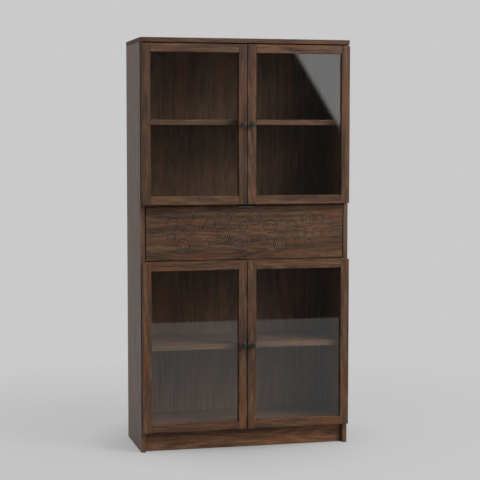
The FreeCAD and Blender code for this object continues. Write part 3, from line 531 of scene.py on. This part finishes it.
# Veneers of the carcass: finish, grain, shift, tone, spread, whether its oil is satin, and the CAD nodes.
VENEERS = (
    # The sides' tone of 1.3 lightens them: partly their own colour, partly painted sheen in place of some of
    # the satin oil's shine.
    ("walnut_veneer_upright_oiled", "upright", (0.31, 0.07, 0.11), 1.3, 1.15, True,
     ("side_panel_left", "side_panel_right")),
    ("walnut_back_upper_oiled", "upright", (1.7, 0.21, 0.4), 1.0, 1.7, False, ("back_panel_upper",)),
    # The lower back's tone of 1.15 is painted light that brightens the shaded lower compartments.
    ("walnut_back_lower_oiled", "upright", (0.6, 0.5, 0.9), 1.15, 1.7, False, ("back_panel_lower",)),
    ("walnut_veneer_lengthwise_oiled", "lengthwise", (0.9, 0.12, 0.33), 1.0, 1.3, False,
     ("top_panel", "upper_deck", "lower_deck", "bottom_panel", "shelf_upper", "shelf_lower")),
    # The plinth's tone of 1.85 is painted light that lightens it where the bottom panel shades its recess.
    ("walnut_plinth_oiled", "lengthwise", (2.3, 0.4, 0.15), 1.85, 1.2, False, ("plinth",)),
)
# A door's frame: member, grain, the first door's shift, the step to the next one's, and CAD names' ends.
FRAME_MEMBERS = (
    ("stile", "upright", (0.1, 0, 0), (0.4, 0.05, 0.13), ("hinge_stile", "latch_stile", "glazing_beads")),
    ("rail", "lengthwise", (0.2, 0, 0), (0.7, 0.04, 0.09), ("bottom_rail", "top_rail")),
)
# Tones of each door's stiles and rails.
DOOR_TONES = ((0.78, 1.0), (0.9, 1.0), (1.1, 0.93), (1.02, 1.02))


class BOOKCASE_OT_carcass(bpy.types.Operator):
    """Veneer the carcass: sides and backs with upright grain, boards with lengthwise grain"""

    bl_idname = "bookcase.carcass"
    bl_label = "Carcass"

    def execute(self, context):
        for name, grain, shift, tone, spread, satin, nodes in VENEERS:
            dress(walnut(name, grain, shift, tone, spread, satin=satin), *nodes)
        return {"FINISHED"}


class BOOKCASE_OT_door_frames(bpy.types.Operator):
    """Give the doors' stiles upright grain and their rails lengthwise grain"""

    bl_idname = "bookcase.door_frames"
    bl_label = "Door frames"

    def execute(self, context):
        for i, (door, tones) in enumerate(zip(DOORS, DOOR_TONES)):
            for tone, (member, grain, first, step, parts) in zip(tones, FRAME_MEMBERS):
                shift = tuple(np.array(first) + i * np.array(step))
                finish = walnut(f"walnut_{member}_{door}_oiled", grain, shift, tone)
                dress(finish, *(f"{door}_{part}" for part in parts))
        return {"FINISHED"}


class BOOKCASE_OT_glass(bpy.types.Operator):
    """Glaze the four doors"""

    bl_idname = "bookcase.glass"
    bl_label = "Glass"

    def execute(self, context):
        dress(float_glass("float_glass_polished"), *(f"{door}_glass" for door in DOORS))
        return {"FINISHED"}


class BOOKCASE_OT_knobs(bpy.types.Operator):
    """Turn a mushroom knob for each door, with its stud and the head of its screw"""

    bl_idname = "bookcase.knobs"
    bl_label = "Knobs"

    def execute(self, context):
        turning = context.scene.bookcase_turning
        finish = powder_coat("powder_coat_black_satin", context.scene.bookcase_metal.black, KNOB_COAT)
        for door in DOORS:
            node = f"{door}_knob"
            low, high = np.array(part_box(node))
            middle = (low + high) / 2
            face = low[1] - KNOB_PROFILE[0][1] * MM
            vertices, faces = turned(KNOB_PROFILE, KNOB_REACH, (middle[0], face, middle[2]), turning)
            make_piece(f"turned_{node}", vertices, faces, finish, door, "black_metal", node)
        return {"FINISHED"}


def hump(share):
    """Half of 1 plus the cosine of pi times the share, which is 1 at 0 and melts into 0 at 1 and -1."""
    return 0.5 + 0.5 * np.cos(math.pi * np.clip(share, -1, 1))


def carved_round(kind, flutes, steps):
    """One carved round, as a grid over the distance from its middle and the angle: the ways across and up,
    the depth, and its painted light: above 0 on the beads, partly wear and partly painted highlight, and
    below 0 in the grooves and flutes, painted shade. Each ring is a groove, as deep as a hump across
    CARVED_HALF_WIDTH. Between rings the wood stands as a bead, worn and painted palest at the outer one, and
    flutes are shallow hollows round the middle, one minus the cosine of their number times the angle."""
    radius, rings = ROUND_KINDS[kind]
    rows = np.arange(radius + CARVED_HALF_WIDTH, CARVED_INNER, -CARVED_STEP)
    reach = np.concatenate(([radius + CARVED_RIM], rows))
    reach, angle = np.meshgrid(reach, np.linspace(0, math.tau, steps, endpoint=False), indexing="ij")
    grooves = [RING_DEPTHS[i] * hump((reach - share * radius) / CARVED_HALF_WIDTH)
               for i, share in enumerate(rings)]
    field = hump((reach / (rings[-1] * radius) - FLUTE_MIDDLE) / FLUTE_HALF_LENGTH)
    hollows = FLUTE_DEPTH * field * (0.5 - 0.5 * np.cos(flutes * angle))
    depth = np.maximum(np.sum(grooves, axis=0), hollows)
    between = [(outer + inner) / 2 * radius for outer, inner in zip(rings, (*rings[1:], 0))]
    # Beads are painted paler, partly as wear and partly as highlight, and grooves darker as painted shade.
    beads = [wear_and_highlight * hump((reach - place) / BEAD_HALF_WIDTH) for wear_and_highlight, place in zip(BEAD_WEAR_AND_HIGHLIGHT, between)]
    return reach * np.cos(angle), reach * np.sin(angle), depth, np.sum(beads, axis=0) - depth / RING_DEPTHS[0]


def eased_loops(low, high, ease):
    """Loops round a board, from its front face over the eased edges to its back face. A quarter circle of
    radius ease carries each loop out and back. The points of a loop are four corners' arcs, each a middle
    plus a radius times the cosine and sine of the angle. The first and last loop lie flat on the faces."""
    turn = np.radians(EASE_TURNS)
    inset = ease * (1 - np.sin(turn))
    inset[0] += FLAT_INSET
    along = ease * (1 - np.cos(turn))
    inset = np.concatenate((inset, inset[::-1]))[:, None]
    place = np.concatenate((low[1] + along, high[1] - along[::-1]))[:, None]
    angle = np.linspace(0, QUARTER_TURN, CORNER_POINTS)[None, :] + np.arange(4)[:, None] * QUARTER_TURN
    angle = angle.ravel()
    keep = ease + CORNER_SPARE
    upper = np.array(((1, 1), (0, 1), (0, 0), (1, 0))) > 0
    middle = np.repeat(np.where(upper, high[[0, 2]] - keep, low[[0, 2]] + keep), CORNER_POINTS, axis=0)
    across = middle[:, 0] + (keep - inset) * np.cos(angle)
    up = middle[:, 1] + (keep - inset) * np.sin(angle)
    return np.stack(np.broadcast_arrays(across, place, up), axis=-1)


def flat_faces(vertices, outline, holes):
    """Triangles of a flat upright face between an outline and its holes, all given as vertex numbers: the
    constrained Delaunay triangles of the points, less those with all three corners on one hole's edge."""
    parts = [outline, *holes]
    numbers = np.concatenate(parts)
    owner = np.concatenate([np.full(len(part), i) for i, part in enumerate(parts)])
    first = np.cumsum([0] + [len(part) for part in parts[:-1]])
    loops = [start + np.arange(len(part)) for start, part in zip(first, parts)]
    edges = np.concatenate([np.stack((loop, np.roll(loop, -1)), axis=1) for loop in loops])
    flat = [Vector(point) for point in vertices[numbers][:, [0, 2]]]
    _, _, found, origins, _, _ = delaunay_2d_cdt(flat, edges.tolist(), [], ALL_TRIANGLES, TOLERANCE)
    triangles = np.array([origin[0] for origin in origins])[np.array(found)]
    owners = owner[triangles]
    filled = (owners != owners[:, :1]).any(axis=1) | (owners[:, 0] == 0)
    return numbers[triangles[filled]].tolist()


class BOOKCASE_OT_drawer_front(bpy.types.Operator):
    """Carve the drawer front: a board with eased edges, rounds of rings and a groove in its back"""

    bl_idname = "bookcase.drawer_front"
    bl_label = "Drawer front"

    def execute(self, context):
        steps = context.scene.bookcase_turning.turn_steps
        low, high = np.array(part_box("drawer_front"))
        board = eased_loops(low, high, BOARD_EASE)
        rows, columns = board.shape[:2]
        vertices, carving_light_and_shade = [board.reshape(-1, 3)], [np.zeros(rows * columns)]
        faces, rims = grid_faces(rows, columns, True).tolist(), []
        for across_share, up_share, kind, flutes in ROUNDS:
            start = sum(map(len, vertices))
            # shown is the round's painted light: highlight, partly wear, on the beads and painted shade in
            # the grooves.
            across, up, depth, shown = carved_round(kind, flutes, steps)
            middle = low + (high - low) * (across_share, 0, up_share)
            grid = middle + np.stack((across, depth, up), axis=-1) * MM
            deep = np.concatenate((grid.reshape(-1, 3), grid[-1].mean(axis=0)[None, :]))
            vertices.append(deep)
            carving_light_and_shade.append(np.append(shown.ravel(), shown[-1, 0]))
            rim = start + np.arange(steps)
            faces += (grid_faces(len(grid), steps, True) + start).tolist()
            faces += fan_faces(rim + (len(grid) - 1) * steps, start + len(deep) - 1)
            rims.append(rim)
        start = sum(map(len, vertices))
        left, right, floor = low[0] + GROOVE_INSET, high[0] - GROOVE_INSET, low[2] + GROOVE_RISE
        head = floor + GROOVE_HEIGHT
        corners = [(left, floor), (right, floor), (right, head), (left, head)]
        slot = np.array([(x, y, z) for y in (high[1], high[1] - GROOVE_DEPTH) for x, z in corners])
        vertices.append(slot)
        carving_light_and_shade.append(np.zeros(len(slot)))
        faces += (grid_faces(2, 4, True) + start).tolist() + [list(range(start + 4, start + 8))]
        vertices = np.concatenate(vertices)
        faces += flat_faces(vertices, np.arange(columns), rims)
        faces += flat_faces(vertices, (rows - 1) * columns + np.arange(columns), [start + np.arange(4)])
        name = "walnut_drawer_front_carved_oiled"
        finish = walnut(name, "lengthwise", FRONT_SHIFT, FRONT_TONE, carved=True)
        piece = make_piece("carved_drawer_front", vertices, faces, finish, "drawer", "drawer_front_walnut",
                           "drawer_front")
        # The carving attribute carries the painted highlight and painted shade of the rounds.
        carving = piece.data.attributes.new("carving", "FLOAT", "POINT")
        carving.data.foreach_set("value", np.concatenate(carving_light_and_shade).astype(np.float32))
        return {"FINISHED"}


class BOOKCASE_OT_drawer_pull(bpy.types.Operator):
    """Bend the drawer's pull from sheet metal"""

    bl_idname = "bookcase.drawer_pull"
    bl_label = "Drawer pull"

    def execute(self, context):
        turning = context.scene.bookcase_turning
        finish = powder_coat("powder_coat_graphite_satin", context.scene.bookcase_metal.graphite, PULL_COAT)
        low, high = np.array(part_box("drawer_pull"))
        outline = rounded(PULL_PROFILE, PULL_REACH, turning.corner_steps, True) * MM
        outline = outline + (high[1] - PULL_PROFILE[0][0] * MM, high[2] - PULL_PROFILE[1][1] * MM)
        across = np.array((low[0], high[0]))[:, None]
        rings = np.stack(np.broadcast_arrays(across, outline[None, :, 0], outline[None, :, 1]), axis=-1)
        faces = grid_faces(2, len(outline), True).tolist()
        faces += [list(range(len(outline))), list(range(2 * len(outline) - 1, len(outline) - 1, -1))]
        piece = make_piece("bent_drawer_pull", rings.reshape(-1, 3), faces, finish, "drawer", "black_metal",
                           "drawer_pull")
        ease = piece.modifiers.new("eased_ends", "BEVEL")
        ease.width = PULL_EASE
        ease.segments = PULL_EASE_STEPS
        ease.limit_method = "ANGLE"
        ease.angle_limit = PULL_EDGE
        return {"FINISHED"}


class BOOKCASE_OT_drawer_box(bpy.types.Operator):
    """Finish the drawer's box in birch plywood, with each board's grain along its length"""

    bl_idname = "bookcase.drawer_box"
    bl_label = "Drawer box"

    def execute(self, context):
        side = birch_ply("birch_ply_side_lacquered", "depthwise", "X")
        dress(side, "drawer_side_left", "drawer_side_right")
        dress(birch_ply("birch_ply_back_lacquered", "lengthwise", "Y"), "drawer_back")
        dress(birch_ply("birch_ply_bottom_lacquered", "lengthwise", "Z"), "drawer_bottom")
        return {"FINISHED"}


# Bare metals: finish, its colour's setting, roughness, size and depth of its marks in metres, and CAD nodes.
BARE_METALS = (
    ("nickel_plated_steel", "nickel", 0.26, 3 * MM, 0.05 * MM,
     ("shelf_pins", "hinge_arms", "hinge_plates", "cam_bolts", "carcass_screws",
      *(f"{door}_hinge_cups" for door in DOORS))),
    ("zinc_die_cast", "zinc", 0.48, 1.2 * MM, 0.3 * MM, ("cam_locks",)),
    ("galvanised_steel", "galvanised", 0.36, 7 * MM, 0.05 * MM,
     ("runner_outers", "runner_middle_left", "runner_middle_right", "runner_inners")),
)


class BOOKCASE_OT_fittings(bpy.types.Operator):
    """Finish hinges, pins, cams, screws, brackets and runners, and set the wall screws"""

    bl_idname = "bookcase.fittings"
    bl_label = "Fittings"

    def execute(self, context):
        metal = context.scene.bookcase_metal
        for name, tint, roughness, grit, depth, nodes in BARE_METALS:
            dress(bare_metal(name, getattr(metal, tint), roughness, grit, depth), *nodes)
        bracket = powder_coat("powder_coat_black_bracket", metal.black, BRACKET_COAT)
        dress(bracket, "wall_brackets")
        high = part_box("wall_brackets")[1]
        for side, x in (("left", -SCREW_SPREAD), ("right", SCREW_SPREAD)):
            middle = (x, high[1] - BRACKET_METAL, high[2] - SCREW_DROP)
            vertices, faces = turned(SCREW_PROFILE, SCREW_REACH, middle, context.scene.bookcase_turning)
            make_piece(f"wall_screw_{side}", vertices, faces, bracket, "carcass", "black_metal")
        return {"FINISHED"}


# Lamps: name, place, aim, width and height in metres, and radiance.
LAMPS = (
    ("key_lamp", (4.5, -4.3, 4.9), (0, -0.15, 0.9), 3.0, 3.0, 14.0),
    ("top_lamp", (-0.3, -0.6, 4.3), (-0.3, -0.6, 0), 5.0, 5.0, 1.5),
    ("softbox", (1.90, -3.2, 2.0), (1.90, 0, 2.0), 1.6, 2.4, 3.3),
)
# The softbox stands upright and leans aside, and its light fades out over this share of its width.
SOFTBOX_TURN, SOFTBOX_FADE = (QUARTER_TURN, math.radians(-32), 0), 0.03
# Radii of the floor's inner rings in metres, and its spokes.
FLOOR_RINGS, FLOOR_SPOKES = (0.05, 2, 6), 96
# How the floor melts into the backdrop: where the object's glow ends, and (place, share) pairs after it, as
# shares of the way out and of the backdrop.
GLOW_END, MELT_STOPS = 0.06, ((0.28, 0.74), (0.5, 0.8), (1, 1))
# Specks of the floor's paint to a metre, and how far they darken and lighten it.
SPECKS, SPECK_DARK, SPECK_LIGHT = 1.5, 0.99, 1.01
# Depths between which the mirrored floor turns dull, and the width of its lit part's edge, in metres.
DULL_START, DULL_END, LIT_EDGE = 0.2, -0.2, 0.15
# Backward part of a mirrored ray at which the dim room ends, and at which the backdrop is full.
ROOM_END, BACKDROP_START = -0.25, 0.15


def add_lamp(name, place, aim, width, height, radiance):
    """A soft rectangular lamp of an even radiance: its power is pi times the radiance times its area."""
    lamp = bpy.data.lights.new(name, "AREA")
    lamp.shape = "RECTANGLE"
    lamp.size, lamp.size_y = width, height
    lamp.energy = math.pi * radiance * width * height
    holder = bpy.data.objects.new(name, lamp)
    holder.location = place
    holder.rotation_euler = (Vector(aim) - Vector(place)).to_track_quat("-Z", "Y").to_euler()
    holder.visible_camera = holder.visible_transmission = False
    bpy.context.scene.collection.objects.link(holder)
    return holder


def direct_view(add):
    """Two nodes. The first gives 1 for a ray that shows the backdrop to the eye: straight, through glass or
    in a mirror, and not on its way from a matt surface. The second gives 1 for a ray that a mirror turned,
    and 0 for one that only passed through glass, which the output for glossy rays doesn't tell apart."""
    ray = add("LightPath")
    seen = add("Math", {0: ray.outputs["Is Camera Ray"], 1: ray.outputs["Is Transmission Ray"]},
               operation="MAXIMUM")
    shown = add("Math", {0: seen, 1: ray.outputs["Is Glossy Ray"]}, operation="MAXIMUM")
    matt = add("Math", {0: ray.outputs["Diffuse Depth"], 1: 0.5}, operation="LESS_THAN")
    direct = add("Math", {0: shown, 1: matt}, operation="MULTIPLY")
    mirrored = add("Math", {0: ray.outputs["Glossy Depth"], 1: 0.5}, operation="GREATER_THAN")
    return direct, mirrored


class BOOKCASE_OT_studio(bpy.types.Operator):
    """Set the camera, the pale floor, the backdrop and the lamps"""

    bl_idname = "bookcase.studio"
    bl_label = "Studio"

    def execute(self, context):
        studio = context.scene.bookcase_studio
        self.set_camera(context.scene, studio)
        self.lay_floor(context.scene, studio)
        self.set_world(context.scene, studio)
        lamps = {row[0]: add_lamp(*row) for row in LAMPS}
        lamps["softbox"].rotation_euler = SOFTBOX_TURN
        self.fade_edge(lamps["softbox"].data)
        context.scene.view_settings.view_transform = "Standard"
        return {"FINISHED"}

    def fade_edge(self, lamp):
        """Fades a lamp's light out towards one of its upright edges, as a cloth on a frame does."""
        add = node_adder(lamp)
        place = add("NewGeometry")
        parts = add("SeparateXYZ", {"Vector": place.outputs["Parametric"]})
        fade = add("MapRange", {"Value": parts.outputs["X"], "From Max": SOFTBOX_FADE},
                   interpolation_type="SMOOTHSTEP")
        cloth = add("Emission", {"Strength": fade})
        add("OutputLight", {"Surface": cloth})

    def set_camera(self, scene, studio):
        """The camera stands left of the middle at eye height and looks slightly down."""
        camera = bpy.data.objects.new("camera", bpy.data.cameras.new("camera"))
        camera.data.lens = studio.camera_lens
        camera.location = studio.camera_place
        sight = Vector(studio.camera_aim) - Vector(studio.camera_place)
        camera.rotation_euler = sight.to_track_quat("-Z", "Y").to_euler()
        scene.collection.objects.link(camera)
        scene.camera = camera

    def lay_floor(self, scene, studio):
        """Painted floor, rolled matt. A disc of rings and spokes, each point its radius times the cosine and
        sine of its angle. Far from the object it melts into the backdrop. In a mirror it is duller in front
        of the object than behind it, and lit only up to a line farther forward."""
        radius = np.array((*FLOOR_RINGS, studio.floor_radius))[:, None]
        angle = np.linspace(0, math.tau, FLOOR_SPOKES, endpoint=False)[None, :]
        points = np.stack(np.broadcast_arrays(radius * np.cos(angle), radius * np.sin(angle), 0.0), axis=-1)
        faces = grid_faces(len(radius), FLOOR_SPOKES, True)[:, ::-1].tolist() + [list(range(FLOOR_SPOKES))]
        mesh = bpy.data.meshes.new("floor")
        mesh.from_pydata(points.reshape(-1, 3).tolist(), [], faces)
        floor = bpy.data.objects.new("floor", mesh)
        scene.collection.objects.link(floor)
        material, add = new_material("floor_paint_matt")
        place = add("TexCoord").outputs["Object"]
        speck = add("TexNoise", {"Vector": place, "Scale": SPECKS, "Detail": 2.0})
        paint = add("MapRange", {"Value": speck, "To Min": SPECK_DARK, "To Max": SPECK_LIGHT})
        tint = add("VectorMath", {0: studio.floor, 1: paint}, operation="MULTIPLY")
        lit = add("BsdfDiffuse", {"Color": tint})
        far = add("Emission", {"Color": solid(studio.backdrop)})
        dark = add("Emission", {"Color": grey(studio.room)})
        reach = add("VectorMath", {0: place}, operation="LENGTH")
        share = add("MapRange", {"Value": reach.outputs["Value"], "From Max": studio.blend_end})
        stops = ((GLOW_END, studio.glow), *MELT_STOPS)
        melt = add("ValToRGB", {"Fac": share}, [(way, grey(level)) for way, level in stops])
        back = add("SeparateXYZ", {"Vector": place}).outputs["Y"]
        dulled = add("MapRange", {
            "Value": back, "From Min": DULL_START, "From Max": DULL_END, "To Max": studio.floor_dulling})
        unlit = add("MapRange", {
            "Value": back, "From Min": studio.lit_floor, "From Max": studio.lit_floor - LIT_EDGE,
            "To Min": dulled}, interpolation_type="SMOOTHSTEP")
        direct, mirrored = direct_view(add)
        melted = add("Math", {0: melt, 1: direct}, operation="MULTIPLY")
        seen = add("MixShader", {0: melted, 1: lit, 2: far})
        dimmed = add("Math", {0: unlit, 1: mirrored}, operation="MULTIPLY")
        surface = add("MixShader", {0: dimmed, 1: seen, 2: dark})
        add("OutputMaterial", {"Surface": surface})
        mesh.materials.append(material)

    def set_world(self, scene, studio):
        """Pale backdrop for the eye, through glass and in mirrors, a dim room in front of the object in
        mirrors, and an even fill for matt surfaces."""
        world = bpy.data.worlds.new("studio")
        add = node_adder(world)
        direct, mirrored = direct_view(add)
        sight = add("TexCoord").outputs["Generated"]
        back = add("SeparateXYZ", {"Vector": sight}).outputs["Y"]
        behind = add("MapRange", {"Value": back, "From Min": ROOM_END, "From Max": BACKDROP_START},
                     interpolation_type="SMOOTHSTEP")
        matt = add("Math", {0: 1.0, 1: mirrored}, operation="SUBTRACT")
        pale = add("Math", {0: behind, 1: matt}, operation="MAXIMUM")
        backdrop = add("Mix", {
            FACTOR: pale, COLOUR_A: grey(studio.room), COLOUR_B: solid(studio.backdrop)}, data_type="RGBA")
        colour = add("Mix", {
            FACTOR: direct, COLOUR_A: grey(studio.fill), COLOUR_B: backdrop.outputs[COLOUR_OUT]},
            data_type="RGBA")
        background = add("Background", {"Color": colour.outputs[COLOUR_OUT]})
        add("OutputWorld", {"Surface": background})
        scene.world = world


STEPS = (BOOKCASE_OT_carcass, BOOKCASE_OT_door_frames, BOOKCASE_OT_glass, BOOKCASE_OT_knobs,
         BOOKCASE_OT_drawer_front, BOOKCASE_OT_drawer_pull, BOOKCASE_OT_drawer_box, BOOKCASE_OT_fittings,
         BOOKCASE_OT_studio)


class BOOKCASE_PT_sidebar(bpy.types.Panel):
    """The bookcase's steps, in order"""

    bl_idname = "BOOKCASE_PT_sidebar"
    bl_label = "Bookcase"
    bl_space_type = "VIEW_3D"
    bl_region_type = "UI"
    bl_category = "Bookcase"

    def draw(self, context):
        for step in STEPS:
            self.layout.operator(step.bl_idname)


SETTINGS = {"bookcase_walnut": WalnutSettings, "bookcase_glass": GlassSettings,
            "bookcase_metal": MetalSettings, "bookcase_box_wood": BoxWoodSettings,
            "bookcase_turning": TurningSettings, "bookcase_studio": StudioSettings}
CLASSES = (*SETTINGS.values(), *STEPS, BOOKCASE_PT_sidebar)


def register():
    """Adds the classes and hangs each group of settings on the scene."""
    for item in CLASSES:
        bpy.utils.register_class(item)
    for name, group in SETTINGS.items():
        setattr(bpy.types.Scene, name, PointerProperty(type=group))


def unregister():
    """Takes off what register added, in reverse."""
    for name in SETTINGS:
        delattr(bpy.types.Scene, name)
    for item in reversed(CLASSES):
        bpy.utils.unregister_class(item)


def main():
    """Runs every step in order."""
    register()
    for step in STEPS:
        group, name = step.bl_idname.split(".")
        getattr(getattr(bpy.ops, group), name)()


if __name__ == "__main__":
    main()
